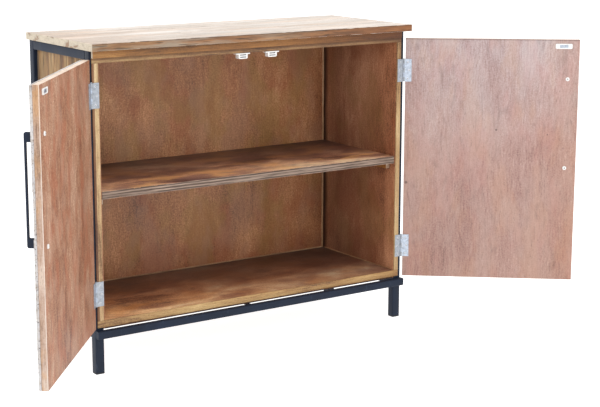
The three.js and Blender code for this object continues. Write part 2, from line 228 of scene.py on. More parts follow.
def wood(name, tones, streak=0.5, fibre=0.8, fibre_size=(50.0, 2.5), speckle=0.4, cloud=0.7,
         figure=0.3, fleck=0.5, fleck_size=(12.0, 1.8), tints=(), patch=(140.0, 90.0), veils=(),
         rough=(0.42, 0.62), bump=0.2, pale=None, spots=()):
    """Wood with streaks, fine fibres, stain clouds, the lines of a flat-sawn figure and dark flecks.

    tones runs from the darkest colour to the lightest. fibre_size and fleck_size are lengths and
    widths in mm. tints are (colour, amount) for patches of other hues, and patch is their length
    and width in mm. pale is the part of the thickness that holds a light line. spots are dark
    marks: how far along and across the piece, and its reach as a share of the piece's length.
    """
    s = Shader(name)
    place = s.grain()
    sway = s.noise(place, (2.6, 6.0, 6.0), 3.0, 0.55)
    bent = s.shift(place, s.swing(sway, 0.05), s.swing(sway, 0.02))
    streaks = s.noise(bent, (1.6, 34.0, 40.0), 4.0, 0.65)
    fibres = s.noise(bent, per_metre(*fibre_size), 3.0, 0.65)
    clouds = s.noise(place, (3.6, 7.0, 7.0), 4.0, 0.6, 0.6)
    grit = s.noise(place, (260.0, 260.0, 260.0), 2.0, 0.6)
    tone = s.add(0.5, s.swing(streaks, 1.6 * streak))
    tone = s.add(tone, s.swing(fibres, 1.1 * fibre))
    tone = s.add(tone, s.swing(grit, 1.1 * speckle))
    tone = s.add(tone, s.swing(clouds, 1.7 * cloud))
    colour = s.ramp(tone, even_stops(tones, 0.14, 0.86))
    for i, (tint, amount) in enumerate(tints):
        moved = s.shift(place, 1.7 * i, 2.3 * i)
        patches = s.spread(s.noise(moved, per_metre(*patch), 3.0, 0.6), 0.46, 0.62)
        colour = s.mix(s.times(patches, amount), colour, tint)
    dark = tuple(0.55 * c for c in tones[1])
    contour = s.noise(bent, (2.2, 13.0, 13.0), 2.0, 0.5)
    lines = s.spread(s.math("PINGPONG", s.times(contour, 16.0), 1.0), 0.0, 0.3, 1.0, 0.0)
    broken = s.spread(s.noise(bent, (26.0, 60.0, 60.0), 3.0, 0.6), 0.45, 0.62)
    colour = s.mix(s.times(s.times(lines, broken), figure), colour, dark)
    flecks = s.noise(bent, per_metre(*fleck_size), 2.0, 0.6, 0.8)
    pores = s.spread(flecks, 0.60, 0.70)
    colour = s.mix(s.times(pores, fleck), colour, dark)
    if pale:
        inside = s.times(s.spread(s.span(Z), pale[0] - 0.03, pale[0]),
                         s.spread(s.span(Z), pale[1], pale[1] + 0.03, 1.0, 0.0))
        colour = s.mix(s.times(inside, 0.6), colour, (232, 224, 214))
    for along, across, reach in spots:
        rise, run = s.add(s.span(X), -along), s.times(s.add(s.span(Y), -across), DOOR_SHAPE)
        away = s.node("CombineXYZ", {"X": rise, "Y": run})
        distance = s.node("VectorMath", {0: away.outputs[0]}, operation="LENGTH").outputs["Value"]
        colour = s.mix(s.spread(distance, 0.4 * reach, reach, 0.75, 0.0), colour, dark)
    colour = s.veils(colour, veils)
    height = s.add(s.times(fibres, 0.8), s.times(pores, -0.7 * fleck))
    gloss = s.spread(s.times(s.add(fibres, clouds), 0.5), 0.3, 0.7, *rough)
    return s.surface(Base_Color=colour, Roughness=gloss, Normal=s.bump(height, bump, 0.0006))


def edging(name, tones, veils=()):
    """The pale wood of the carcass edging."""
    return wood(name, tones, streak=0.7, fibre=0.8, cloud=0.9, figure=0.2, fleck=0.5, veils=veils)


def ply_edge(name, plies, layer):
    """Sawn plywood edge: layers through the thickness, torn and filled here and there."""
    s = Shader(name)
    place = s.grain()
    wander = s.noise(place, (7.0, 7.0, 30.0), 3.0, 0.6)
    through = s.node("SeparateXYZ", {"Vector": place}).outputs["Z"]
    level = s.add(s.times(through, 1.0 / layer), s.swing(wander, 1.2))
    band = s.math("FRACT", s.times(level, 0.5))
    colour = s.ramp(s.math("PINGPONG", s.times(band, 2.0), 1.0), even_stops(plies, 0.15, 0.85))
    tears = s.spread(s.noise(place, (16.0, 16.0, 420.0), 4.0, 0.6), 0.50, 0.66)
    colour = s.mix(s.times(tears, 0.5), colour, tuple(0.55 * c for c in plies[0]))
    frayed = s.spread(s.noise(place, (9.0, 9.0, 300.0), 4.0, 0.6), 0.50, 0.64)
    colour = s.mix(s.times(frayed, 0.6), colour, tuple(min(255, 1.2 * c) for c in plies[-1]))
    normal = s.bump(s.add(tears, wander), 0.5, 0.0008)
    return s.surface(Base_Color=colour, Roughness=0.7, Normal=normal)


def end_grain(name, light, dark, patch):
    """Sawn end of a board: bent ring lines, pores and a darker stained patch."""
    s = Shader(name)
    place = s.grain()
    contour = s.noise(place, (2.0, 9.0, 40.0), 2.0)
    lines = s.spread(s.math("PINGPONG", s.times(contour, 18.0), 1.0), 0.0, 0.4, 1.0, 0.0)
    clouds = s.noise(place, (5.0, 22.0, 40.0), 3.0, 0.6)
    pores = s.spread(s.noise(place, (300.0, 500.0, 900.0), 2.0), 0.55, 0.7)
    colour = s.mix(s.spread(clouds, 0.4, 0.7), light, tuple(0.85 * c for c in light))
    colour = s.mix(s.times(lines, 0.16), colour, dark)
    colour = s.mix(s.spread(clouds, 0.54, 0.60, 0.0, 0.75), colour, patch)
    colour = s.mix(s.times(pores, 0.4), colour, dark)
    normal = s.bump(s.add(lines, pores), 0.3, 0.0005)
    return s.surface(Base_Color=colour, Roughness=0.72, Normal=normal)


def reclaimed(name, hues, grey, worn, veils=()):
    """Old planed plank: streaks of several hues, dark checks and a worn grey film.

    worn is how much of the film is left at the start and at the end of the piece.
    """
    s = Shader(name)
    place = s.grain()
    sway = s.noise(place, (3.0, 9.0, 9.0), 3.0)
    bent = s.shift(place, s.swing(sway, 0.03), s.swing(sway, 0.01))
    streaks = s.noise(bent, (9.0, 130.0, 130.0), 5.0, 0.72)
    broad = s.noise(bent, (2.0, 24.0, 14.0), 3.0, 0.55)
    tone = s.add(0.5, s.add(s.swing(streaks, 1.3), s.swing(broad, 1.1)))
    colour = s.ramp(tone, even_stops(hues, 0.15, 0.85))
    film = s.spread(s.noise(bent, (6.0, 60.0, 60.0), 4.0, 0.65), 0.42, 0.6)
    left = s.spread(s.span(X), 0.0, 1.0, *worn)
    colour = s.mix(s.times(film, left), colour, grey)
    checks = s.spread(s.noise(bent, (12.0, 260.0, 260.0), 3.0, 0.55), 0.58, 0.67)
    colour = s.mix(s.times(checks, 0.7), colour, tuple(0.5 * c for c in hues[0]))
    normal = s.bump(s.add(streaks, s.times(checks, -0.8)), 0.5, 0.0008)
    gloss = s.spread(film, 0.0, 1.0, 0.5, 0.75)
    return s.surface(Base_Color=s.veils(colour, veils), Roughness=gloss, Normal=normal)


# ---------------------------------------------------------------- metal and plastic finishes

def painted_steel(name):
    """Satin navy-black paint with a fine orange peel, dust, and a few lighter scuffs."""
    s = Shader(name)
    place = s.local()
    dust = s.noise(place, (9.0, 9.0, 9.0), 4.0, 0.6)
    peel = s.noise(place, (900.0, 900.0, 900.0), 1.0)
    scuffs = s.spread(s.noise(place, (90.0, 90.0, 30.0), 4.0, 0.7), 0.60, 0.74)
    colour = s.ramp(dust, [(0.3, (18, 27, 42)), (0.7, (28, 40, 60))])
    colour = s.mix(s.times(scuffs, 0.3), colour, (78, 92, 112))
    gloss = s.add(s.spread(dust, 0.3, 0.7, 0.42, 0.56), s.times(scuffs, 0.12))
    normal = s.bump(s.add(peel, s.times(scuffs, -0.3)), 0.12, 0.0004)
    return s.surface(Base_Color=colour, Roughness=gloss, Normal=normal, Specular_IOR_Level=0.22)


def zinc_plate(name, tint, dull):
    """Zinc plating with soft crystalline patches, rolling lines and dull stains."""
    s = Shader(name)
    place = s.local()
    cells = s.node("TexVoronoi", {"Vector": place, "Scale": 230.0}).outputs["Color"]
    facet = s.node("SeparateXYZ", {"Vector": cells}).outputs["X"]
    lines = s.noise(place, (240.0, 240.0, 2200.0), 2.0)
    marks = s.spread(s.noise(place, (130.0, 130.0, 130.0), 4.0, 0.7), 0.5, 0.7)
    tone = s.times(s.add(facet, lines), 0.5)
    colour = s.ramp(tone, [(0.2, tuple(0.86 * c for c in tint)), (0.8, tint)])
    colour = s.mix(s.times(marks, dull), colour, (112, 118, 126))
    gloss = s.spread(tone, 0.2, 0.8, 0.32, 0.48)
    return s.surface(Base_Color=colour, Roughness=gloss, Normal=s.bump(lines, 0.15, 0.0003),
                     Metallic=0.8)


def moulded(name, colour, shade, rough):
    """Moulded plastic with a fine texture and faint handling marks."""
    s = Shader(name)
    place = s.local()
    texture = s.noise(place, (1500.0, 1500.0, 1500.0), 2.0)
    marks = s.noise(place, (90.0, 90.0, 90.0), 3.0, 0.6)
    tone = s.ramp(marks, [(0.35, shade), (0.6, colour)])
    gloss = s.spread(marks, 0.3, 0.7, rough, rough + 0.15)
    return s.surface(Base_Color=tone, Roughness=gloss, Normal=s.bump(texture, 0.1, 0.0003))


FULL = (255, 255, 255)  # a veil's stop that leaves the colour as it is
PLY_TONES = [(98, 62, 40), (158, 108, 72), (190, 136, 94), (220, 172, 128)]

TOP_FACE = wood("top_face", [(128, 108, 92), (188, 172, 157), (215, 204, 194), (234, 227, 221)],
                streak=0.9, fibre=0.8, cloud=0.4, figure=0.4, fleck=0.55, fleck_size=(30.0, 3.0),
                tints=(((210, 178, 150), 0.45), ((182, 170, 156), 0.4)), patch=(260.0, 50.0),
                rough=(0.3, 0.42), bump=0.12,
                veils=[(X, 0.1, [(0.0, (240, 228, 216)), (0.25, FULL)])])
# The veil along the length is painted shade, darkening towards the right-hand end.
TOP_EDGE = reclaimed("top_edge", [(88, 60, 38), (130, 90, 58), (160, 116, 76), (192, 152, 110)],
                     (152, 138, 122), (0.9, 0.1),
                     veils=[(Z, 0.0, [(0.86, FULL), (0.95, (150, 128, 112))]),
                            (X, 0.1, [(0.0, (246, 255, 255)), (0.3, FULL), (0.6, (255, 250, 240)),
                                      (1.0, (222, 194, 164))])])
TOP_END = end_grain("top_end", (204, 192, 172), (132, 100, 76), (146, 112, 86))
# The veil along the length is painted shade: the shadow under the top's overhang, deepening to the
# right.
APRON = wood("apron_wood", [(90, 57, 24), (131, 87, 40), (152, 105, 52), (168, 124, 68)],
             streak=0.8, fibre=0.7, cloud=0.6, figure=0.35, fleck=0.4,
             veils=[(X, 0.1, [(0.0, FULL), (0.6, (240, 232, 222)), (1.0, (170, 142, 120))])])
# The left stile's veil paints shade on its outer strip, in the gap by the door. The top strip's darker
# tones and veils are painted shade under the top, and the veils of the top and bottom strips darken them
# to the right as painted shade.
EDGING = {
    "right": edging("edge_wood", [(114, 81, 50), (163, 128, 86), (183, 152, 108), (202, 176, 134)]),
    "bottom": edging("edge_wood_foot", [(110, 76, 44), (164, 128, 82), (184, 152, 102), (206, 178, 128)],
                     [(X, 0.1, [(0.0, FULL), (0.5, (252, 246, 238)), (1.0, (226, 208, 188))])]),
    "left": edging("edge_wood_left", [(114, 81, 50), (170, 137, 96), (194, 164, 120), (214, 190, 146)],
                   [(Y, 0.02, [(0.3, (168, 138, 124)), (0.38, FULL)])]),
    "top": edging("edge_wood_top", [(103, 72, 42), (150, 116, 76), (170, 139, 95), (192, 164, 118)],
                  [(X, 0.1, [(0.0, FULL), (0.5, (240, 230, 220)), (1.0, (188, 168, 156))]),
                   (Y, 0.05, [(0.3, FULL), (0.42, (214, 198, 186))])]),
}
# Its veils are painted shade: darker at the bottom, where the back meets the floor, and in the
# right-hand corner.
BACK = wood("back_ply", PLY_TONES, streak=0.22, fibre=0.45, fibre_size=(22.0, 3.5), speckle=0.8,
            cloud=0.65, figure=0.1, fleck=0.15,
            tints=(((152, 76, 44), 0.4), ((154, 122, 62), 0.4), ((170, 132, 110), 0.3)),
            patch=(150.0, 95.0),
            veils=[(X, 0.12, [(0.0, (214, 188, 176)), (0.16, FULL)]),
                   (Y, 0.1, [(0.9, FULL), (1.0, (214, 196, 188))])])
# Its veil across the depth is painted light and shade: warmer at the front edge, greyer through the
# middle and dark along the back corner.
WALL = wood("wall_ply", [(95, 58, 42), (155, 107, 79), (186, 137, 105), (213, 169, 135)],
            streak=0.22, fibre=0.5, fibre_size=(26.0, 3.5), speckle=0.7, cloud=0.7, figure=0.1,
            fleck=0.15, tints=(((140, 76, 46), 0.4), ((140, 110, 64), 0.35)), patch=(150.0, 90.0),
            veils=[(Y, 0.06, [(0.0, (255, 246, 236)), (0.25, (222, 212, 206)), (0.8, (228, 228, 232)),
                              (0.93, FULL), (0.975, (112, 100, 96))])])
# Its veil across the depth is painted shade that deepens towards the back.
SHELF_FACE = wood("shelf_ply", [(92, 60, 52), (166, 120, 98), (218, 170, 136), (248, 214, 172)],
                  streak=0.25, fibre=0.5, speckle=0.5, cloud=1.3, figure=0.06, fleck=0.2,
                  tints=(((240, 184, 120), 0.6), ((132, 98, 94), 0.55)), patch=(110.0, 70.0),
                  rough=(0.4, 0.58),
                  veils=[(Y, 0.55, [(0.0, FULL), (0.24, (252, 244, 236)), (0.46, (180, 166, 168)),
                                    (1.0, (112, 110, 120))])])
# Its veils are painted shade, darker towards the back and towards the right.
FLOOR_FACE = wood("floor_ply", [(122, 82, 60), (200, 146, 104), (242, 194, 142), (255, 232, 182)],
                  streak=0.2, fibre=0.5, speckle=0.5, cloud=1.3, figure=0.05, fleck=0.2,
                  tints=(((222, 146, 74), 0.4), ((140, 92, 78), 0.4)), patch=(130.0, 100.0),
                  rough=(0.4, 0.58),
                  veils=[(Y, 0.5, [(0.0, FULL), (0.2, FULL), (0.38, (224, 208, 204)),
                                   (0.6, (174, 164, 172)), (1.0, (142, 142, 156))]),
                         (X, 0.2, [(0.0, FULL), (0.2, FULL), (0.45, (216, 210, 214)),
                                   (1.0, (178, 176, 190))])])
SHELF_EDGE = ply_edge("shelf_ply_edge", [(76, 60, 50), (120, 99, 86), (150, 130, 115)], 3.4 * MM)
# A darker copy of the ply edge: painted shade on the strip of ply below the bottom lipping.
FLOOR_EDGE = ply_edge("floor_ply_edge", [(78, 50, 34), (112, 76, 52), (134, 96, 68)], 3.4 * MM)
DOOR_INNER = {
    "right": wood("door_ply_right", [(122, 96, 96), (163, 139, 137), (181, 162, 161), (197, 183, 184)],
                  streak=0.2, fibre=0.75, fibre_size=(30.0, 3.2), speckle=0.6, cloud=0.4, figure=0.22,
                  fleck=0.4, fleck_size=(11.0, 1.9),
                  tints=(((190, 150, 148), 0.3), ((192, 160, 136), 0.25), ((190, 184, 186), 0.25)),
                  patch=(190.0, 70.0), rough=(0.5, 0.65),
                  spots=((0.627, 0.464, 0.006), (0.61, 0.168, 0.004), (0.40, 0.985, 0.008)),
                  veils=[(X, 0.25, [(0.0, (238, 214, 198)), (0.55, (246, 226, 214)), (1.0, FULL)]),
                         (Y, 0.2, [(0.0, (255, 246, 236)), (0.3, FULL)]),
                         (X, 0.0, [(0.995, FULL), (1.0, (150, 130, 130))])]),
    # The left door's ply is a darker, redder copy of the right door's ply: painted shade.
    "left": wood("door_ply_left_shaded", [(104, 60, 42), (148, 100, 74), (172, 128, 100), (204, 172, 148)],
                 streak=0.35, fibre=0.9, fibre_size=(30.0, 4.2), speckle=0.9, cloud=0.55, figure=0.25,
                 fleck=0.4, tints=(((172, 98, 66), 0.4), ((192, 158, 136), 0.28)),
                 patch=(80.0, 40.0), rough=(0.5, 0.65)),
}
DOOR_EDGE = wood("door_core_edge", [(126, 98, 78), (168, 138, 118), (186, 160, 144), (202, 182, 166)],
                 streak=0.9, fibre=1.0, cloud=1.0, figure=0.1, fleck=0.5, pale=(0.89, 0.96),
                 tints=(((196, 146, 92), 0.5),), patch=(90.0, 60.0), rough=(0.6, 0.75))
DOOR_TOP = wood("door_core_end", [(168, 142, 122), (206, 184, 164), (224, 206, 190), (234, 220, 208)],
                streak=0.4, fibre=0.8, cloud=0.5, figure=0.1, fleck=0.4, rough=(0.6, 0.75))
# Each door's planks from the top down: streak colours and how much of the grey film is left.
PLANKS = [([(112, 80, 52), (162, 122, 82), (194, 158, 116), (216, 190, 156)], (0.6, 0.5)),
          ([(92, 66, 46), (140, 104, 74), (168, 136, 106), (196, 172, 146)], (0.8, 0.75)),
          ([(104, 76, 52), (152, 114, 78), (188, 152, 112), (210, 184, 150)], (0.5, 0.65)),
          ([(120, 92, 64), (170, 138, 104), (198, 172, 138), (220, 200, 172)], (0.75, 0.5))]
DOOR_BOARDS = [reclaimed(f"door_board_{i}", hues, (198, 196, 192), film)
               for i, (hues, film) in enumerate(PLANKS, 1)]
BOARD_EDGE = reclaimed("door_board_edge", [(140, 126, 114), (180, 172, 166), (202, 198, 196)],
                       (192, 192, 196), (0.6, 0.6))
SIDE_OUTER = reclaimed("side_veneer", [(50, 32, 20), (116, 78, 42), (166, 124, 72), (194, 166, 124)],
                       (124, 112, 92), (0.5, 0.5))
BEAD = wood("bead_wood", [(124, 90, 62), (180, 140, 104), (212, 178, 142)], cloud=0.8, fleck=0.3)
STEEL = painted_steel("black_steel")
ZINC = zinc_plate("zinc_plate", (196, 206, 220), 0.45)
# A darker copy of the zinc for the hinges' frame leaves: painted shade.
ZINC_SHADED = zinc_plate("zinc_plate_shaded", (176, 182, 190), 0.55)
SCREW = zinc_plate("screw_steel", (222, 224, 228), 0.2)
POLE = zinc_plate("pole_steel", (58, 62, 70), 0.3)
WHITE = moulded("white_plastic", (238, 238, 236), (222, 222, 220), 0.35)
BLACK_PLASTIC = moulded("black_plastic", (38, 40, 44), (26, 28, 32), 0.5)
# Dark grey on the faces inside screw and cap recesses: painted shade.
RECESS_SHADE = moulded("recess", (96, 88, 84), (66, 60, 58), 0.6)


# ---------------------------------------------------------------- mesh building

def finish_piece(name, bm, body, materials, axes=(X, Y, Z), seed=0, smooth=30):
    """Turns a mesh built with its door closed into a piece that rides on its body.

    axes are the grain, the direction across it and the thickness. With three materials, faces
    that look along the thickness take the first, those that look across the second, and ends
    the third.
    """
    bmesh.ops.recalc_face_normals(bm, faces=bm.faces)
    if len(materials) == 3:
        for face in bm.faces:
            look = [abs(face.normal[i]) for i in axes]
            face.material_index = (2, 1, 0)[look.index(max(look))]
    mesh = bpy.data.meshes.new(name)
    bm.to_mesh(mesh)
    bm.free()
    store_grain(mesh, axes, seed)
    mesh.transform(PLACE[body])
    for material in materials:
        mesh.materials.append(material)
    mesh.shade_smooth()
    mesh.set_sharp_from_angle(angle=math.radians(smooth))
    piece = bpy.data.objects.new(name, mesh)
    bpy.context.scene.collection.objects.link(piece)
    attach(piece, body)
    return piece


def store_grain(mesh, axes, seed):
    """Keeps each point's place in metres and as a share of the piece, both in grain order."""
    points = [Vector([v.co[i] for i in axes]) for v in mesh.vertices]
    low = [min(p[i] for p in points) for i in range(3)]
    size = [max(p[i] for p in points) - low[i] for i in range(3)]
    grain = mesh.attributes.new("grain", "FLOAT_VECTOR", "POINT")
    span = mesh.attributes.new("span", "FLOAT_VECTOR", "POINT")
    offset = Vector((0.37 * seed, 0.61 * seed, 0.0))
    for i, point in enumerate(points):
        grain.data[i].vector = point + offset
        span.data[i].vector = [(point[k] - low[k]) / size[k] for k in range(3)]


def section(width, height, radii, steps=3):
    """Points round a rectangle whose corners have their own radii."""
    points = []
    for (sx, sy, start), radius in zip(((1, 1, 0), (-1, 1, 90), (-1, -1, 180), (1, -1, 270)), radii):
        for i in range(steps + 1):
            angle = math.radians(start + 90 * i / steps)
            points.append((sx * (width / 2 - radius) + radius * math.cos(angle),
                           sy * (height / 2 - radius) + radius * math.sin(angle)))
    return points


def placed(along, place, a, b):
    """A point with its place on one axis and a and b on the two others, in X, Y, Z order."""
    u, v = others(along)
    point = [0.0, 0.0, 0.0]
    point[along], point[u], point[v] = place, a, b
    return point


def loft(bm, rings, closed_ends=True):
    """Joins rings of points with quads, and caps the first and the last ring if asked."""
    made = [[bm.verts.new(p) for p in ring] for ring in rings]
    count = len(made[0])
    for a, b in zip(made, made[1:]):
        for i in range(count):
            bm.faces.new((a[i], a[(i + 1) % count], b[(i + 1) % count], b[i]))
    if closed_ends:
        bm.faces.new(made[0])
        bm.faces.new(made[-1])
    return made


WEAR_WAVES = 22  # slow changes of the arris, per metre
KNOCK_WAVES = 70


def worn_board(low, high, along, arris, wear, seed, step):
    """A board whose arrises are rounded unevenly along its length, as by sanding and knocks."""
    size, middle = high - low, (high + low) / 2
    u, v = others(along)
    inset = arris * 0.5
    count = max(2, round(size[along] / step))
    inner = size[along] - 2 * inset
    stations = [(inset, low[along])]
    stations += [(0.0, low[along] + inset + inner * i / count) for i in range(count + 1)]
    stations += [(inset, high[along])]
    rings = []
    for shrink, place in stations:
        radii = []
        for corner in range(4):
            slow = noise.noise(Vector((place * WEAR_WAVES, corner * 7.3 + seed * 3.1, 0.5)))
            quick = noise.noise(Vector((place * KNOCK_WAVES, corner * 5.7 + seed, 9.5)))
            knock = max(0.0, quick - 0.35)
            radii.append(arris * (1 + 0.45 * wear * slow + 5.0 * wear * knock))
        outline = section(size[u] - 2 * shrink, size[v] - 2 * shrink, radii)
        rings.append([placed(along, place, middle[u] + a, middle[v] + b) for a, b in outline])
    bm = bmesh.new()
    loft(bm, rings)
    return bm


def prism(outline, along, start, end, bevel):
    """A bevelled solid with the outline given in the two other axes, in their X, Y, Z order."""
    bm = bmesh.new()
    loft(bm, [[placed(along, place, a, b) for a, b in outline] for place in (start, end)])
    bmesh.ops.recalc_face_normals(bm, faces=bm.faces)
    bmesh.ops.bevel(bm, geom=bm.edges[:], offset=bevel, segments=2, affect="EDGES", profile=0.6)
    return bm


def slab(low, high, bevel):
    """A small bevelled block between two corners."""
    outline = [(low[1], low[2]), (high[1], low[2]), (high[1], high[2]), (low[1], high[2])]
    return prism(outline, X, low[0], high[0], bevel)


TURNED_POINTS = 24
CROSS_ARM = 0.34  # the inner corners of a cross recess, as a share of its reach


def turned(bm, centre, normal, profile):
    """Adds a round piece built of rings, from its rim to its middle.

    profile holds (radius, height, crossed); a crossed ring follows a cross recess, and the
    faces inside it take the second material, a dark grey that paints the recess's shade.
    """
    axis = Vector(normal)
    side = axis.orthogonal().normalized()
    up = axis.cross(side)
    rings = []
    for radius, height, crossed in profile:
        ring = []
        for i in range(TURNED_POINTS):
            angle = math.tau * i / TURNED_POINTS
            on_arm = i % (TURNED_POINTS // 4) in (0, 1, TURNED_POINTS // 4 - 1)
            reach = radius * (CROSS_ARM if crossed and not on_arm else 1.0)
            spoke = side * math.cos(angle) + up * math.sin(angle)
            ring.append(centre + axis * height + spoke * reach)
        rings.append(ring)
    made = loft(bm, rings)
    inside = {v for ring, (_, _, crossed) in zip(made, profile) if crossed for v in ring}
    for face in bm.faces:
        if all(v in inside for v in face.verts):
            face.material_index = 1


def board_for(node, axes, materials, arris=0.8 * MM, wear=1.0, seed=0, step=18 * MM):
    """Replaces a CAD board with a worn one that fills the same box."""
    low, high = square_box(node)
    bm = worn_board(low, high, axes[0], arris, wear, seed, step)
    piece = finish_piece(node + "_look", bm, NODE_BODY[node], materials, axes, seed)
    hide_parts(node)


# ---------------------------------------------------------------- steel frame

TUBE_RADIUS = 2.5 * MM
TUBE_WALL = 1.5 * MM
TUBE_LIP = 0.3 * MM  # the chamfer round a tube's sawn end
PLUG_THICKNESS = 2.0 * MM
PLUG_CLEARANCE = 0.1 * MM
PLUG_RADIUS = 1.2 * MM
WELD_RADIUS = 1.1 * MM
WELD_STEP = 1.1 * MM
WELD_SIDES = 8
FRONT_WELD_INSET = 1.5 * MM  # from the front rail's top and bottom edges


def tube_for(node, along):
    """Replaces a CAD tube with one whose corners are smoothly rounded."""
    low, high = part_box(node)
    size, middle = high - low, (high + low) / 2
    u, v = others(along)
    start, end = low[along], high[along]
    rings = []
    for inset, place in ((TUBE_WALL, start), (TUBE_LIP, start), (0.0, start + TUBE_LIP),
                         (0.0, end - TUBE_LIP), (TUBE_LIP, end), (TUBE_WALL, end)):
        outline = section(size[u] - 2 * inset, size[v] - 2 * inset, [TUBE_RADIUS - inset] * 4, 5)
        rings.append([placed(along, place, middle[u] + a, middle[v] + b) for a, b in outline])
    bm = bmesh.new()
    made = loft(bm, rings, closed_ends=False)
    first, last = made[0], made[-1]
    for i in range(len(first)):
        j = (i + 1) % len(first)
        bm.faces.new((first[i], last[i], last[j], first[j]))
    piece = finish_piece(node + "_look", bm, "cabinet", [STEEL], smooth=40)
    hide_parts(node)


def plug_for(node, along):
    """Flat steel plates that close a tube's two ends, just inside them."""
    low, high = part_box(node)
    u, v = others(along)
    width, height = [high[i] - low[i] - 2 * TUBE_WALL - PLUG_CLEARANCE for i in (u, v)]
    outline = section(width, height, [PLUG_RADIUS] * 4)
    middle = (high + low) / 2
    starts = {"start": low[along] + TUBE_LIP, "end": high[along] - TUBE_LIP - PLUG_THICKNESS}
    for name, start in starts.items():
        bm = bmesh.new()
        loft(bm, [[placed(along, start + t, middle[u] + a, middle[v] + b) for a, b in outline]
                  for t in (0.0, PLUG_THICKNESS)])
        finish_piece(f"{node}_plug_{name}", bm, "cabinet", [STEEL])


def weld(bm, start, end, seed):
    """Adds a half-sunk bead of overlapping weld ripples along a line."""
    line = end - start
    side = line.orthogonal().normalized()
    up = line.normalized().cross(side)
    count = round(line.length / WELD_STEP) * 2
    rings = []
    for i in range(count + 1):
        t = i / count
        ripple = 0.16 * (i % 2) + 0.25 * noise.noise(Vector((i * 0.4, seed * 5.1, 2.0)))
        radius = WELD_RADIUS * (0.9 + ripple) * (0.4 if i in (0, count) else 1.0)
        rings.append([start + line * t + (side * math.cos(a) + up * math.sin(a)) * radius
                      for a in [math.tau * k / WELD_SIDES for k in range(WELD_SIDES)]])
    loft(bm, rings)


def weld_rail(node, along):
    """Weld beads above and below each end of a rail, where it meets a post."""
    low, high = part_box(node)
    across = X if along == Y else Y
    bm = bmesh.new()
    seed = 0
    for place in (low[along], high[along]):
        for height in (low.z, high.z):
            ends = []
            for side in (low[across] + TUBE_RADIUS, high[across] - TUBE_RADIUS):
                point = Vector((0.0, 0.0, height))
                point[along], point[across] = place, side
                ends.append(point)
            weld(bm, *ends, seed)
            seed += 1
    finish_piece(f"{node}_welds", bm, "cabinet", [STEEL], smooth=60)


def weld_front_rail():
    """Weld beads where the front rail lies against the two front posts."""
    low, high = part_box("rail_front")
    bm = bmesh.new()
    for seed, side in enumerate(SIDES):
        post_low, post_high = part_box(f"post_front_{side}")
        for height in (low.z + FRONT_WELD_INSET, high.z - FRONT_WELD_INSET):
            weld(bm, Vector((post_low.x + TUBE_RADIUS, high.y, height)),
                 Vector((post_high.x - TUBE_RADIUS, high.y, height)), 10 + seed)
    finish_piece("rail_front_welds", bm, "cabinet", [STEEL], smooth=60)


def build_frame():
    for node in [n for n in frame["nodes"] if n.startswith("post_")]:
        tube_for(node, Z)
    side_rails = [f"rail_{level}_{side}" for level in ("top", "bottom") for side in SIDES]
    for node in side_rails:
        tube_for(node, Y)
        weld_rail(node, Y)
    for node in ("rail_top_rear", "rail_bottom_rear"):
        tube_for(node, X)
        weld_rail(node, X)
    tube_for("rail_front", X)
    plug_for("rail_front", X)
    weld_front_rail()


# ---------------------------------------------------------------- wooden pieces

def build_top():
    for i in (1, 2, 3):
        board_for(f"top_board_{i}", (X, Y, Z), [TOP_FACE, TOP_EDGE, TOP_END],
                  arris=1.0 * MM, seed=i, step=12 * MM)
    board_for("front_apron", (X, Z, Y), [APRON, APRON, TOP_END], seed=5)


def build_edging():
    for name, axes, seed in (("bottom", (X, Z, Y), 7), ("top", (X, Z, Y), 12),
                             ("left", (Z, X, Y), 8), ("right", (Z, X, Y), 8)):
        board_for(f"edging_{name}", axes, [EDGING[name]] * 3, arris=0.5 * MM, seed=seed)


def side_panel(side):
    """Side panel notched round both posts; its outer face is a streaky veneer."""
    node = f"side_panel_{side}"
    low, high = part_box(node)
    front_low, front_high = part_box(f"post_front_{side}")
    rear_low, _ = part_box(f"post_rear_{side}")
    if side == "left":
        inner, outer, rebate = high.x, low.x, front_high.x + CAD_GAP
    else:
        inner, outer, rebate = low.x, high.x, front_low.x - CAD_GAP
    front, rear = front_high.y + CAD_GAP, rear_low.y - CAD_GAP
    outline = [(inner, low.y), (rebate, low.y), (rebate, front), (outer, front),
               (outer, rear), (rebate, rear), (rebate, high.y), (inner, high.y)]
    bm = prism(outline, Z, low.z, high.z, 0.4 * MM)
    bmesh.ops.recalc_face_normals(bm, faces=bm.faces)
    outward = -1 if side == "left" else 1
    for face in bm.faces:
        face.material_index = 1 if face.normal.x * outward > 0.7 else 0
    piece = finish_piece(node + "_look", bm, "cabinet", [WALL, SIDE_OUTER], (Z, Y, X),
                         seed=3 + outward)
    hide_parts(node)


def ceiling_panel():
    """Ceiling with a rebate for the rear rail."""
    low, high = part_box("ceiling_panel")
    rail_low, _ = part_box("rail_top_rear")
    step_y, step_z = rail_low.y - CAD_GAP, rail_low.z - CAD_GAP
    outline = [(low.y, low.z), (high.y, low.z), (high.y, step_z),
               (step_y, step_z), (step_y, high.z), (low.y, high.z)]
    bm = prism(outline, X, low.x, high.x, 0.4 * MM)
    piece = finish_piece("ceiling_panel_look", bm, "cabinet", [WALL], (X, Y, Z), 2)
    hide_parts("ceiling_panel")


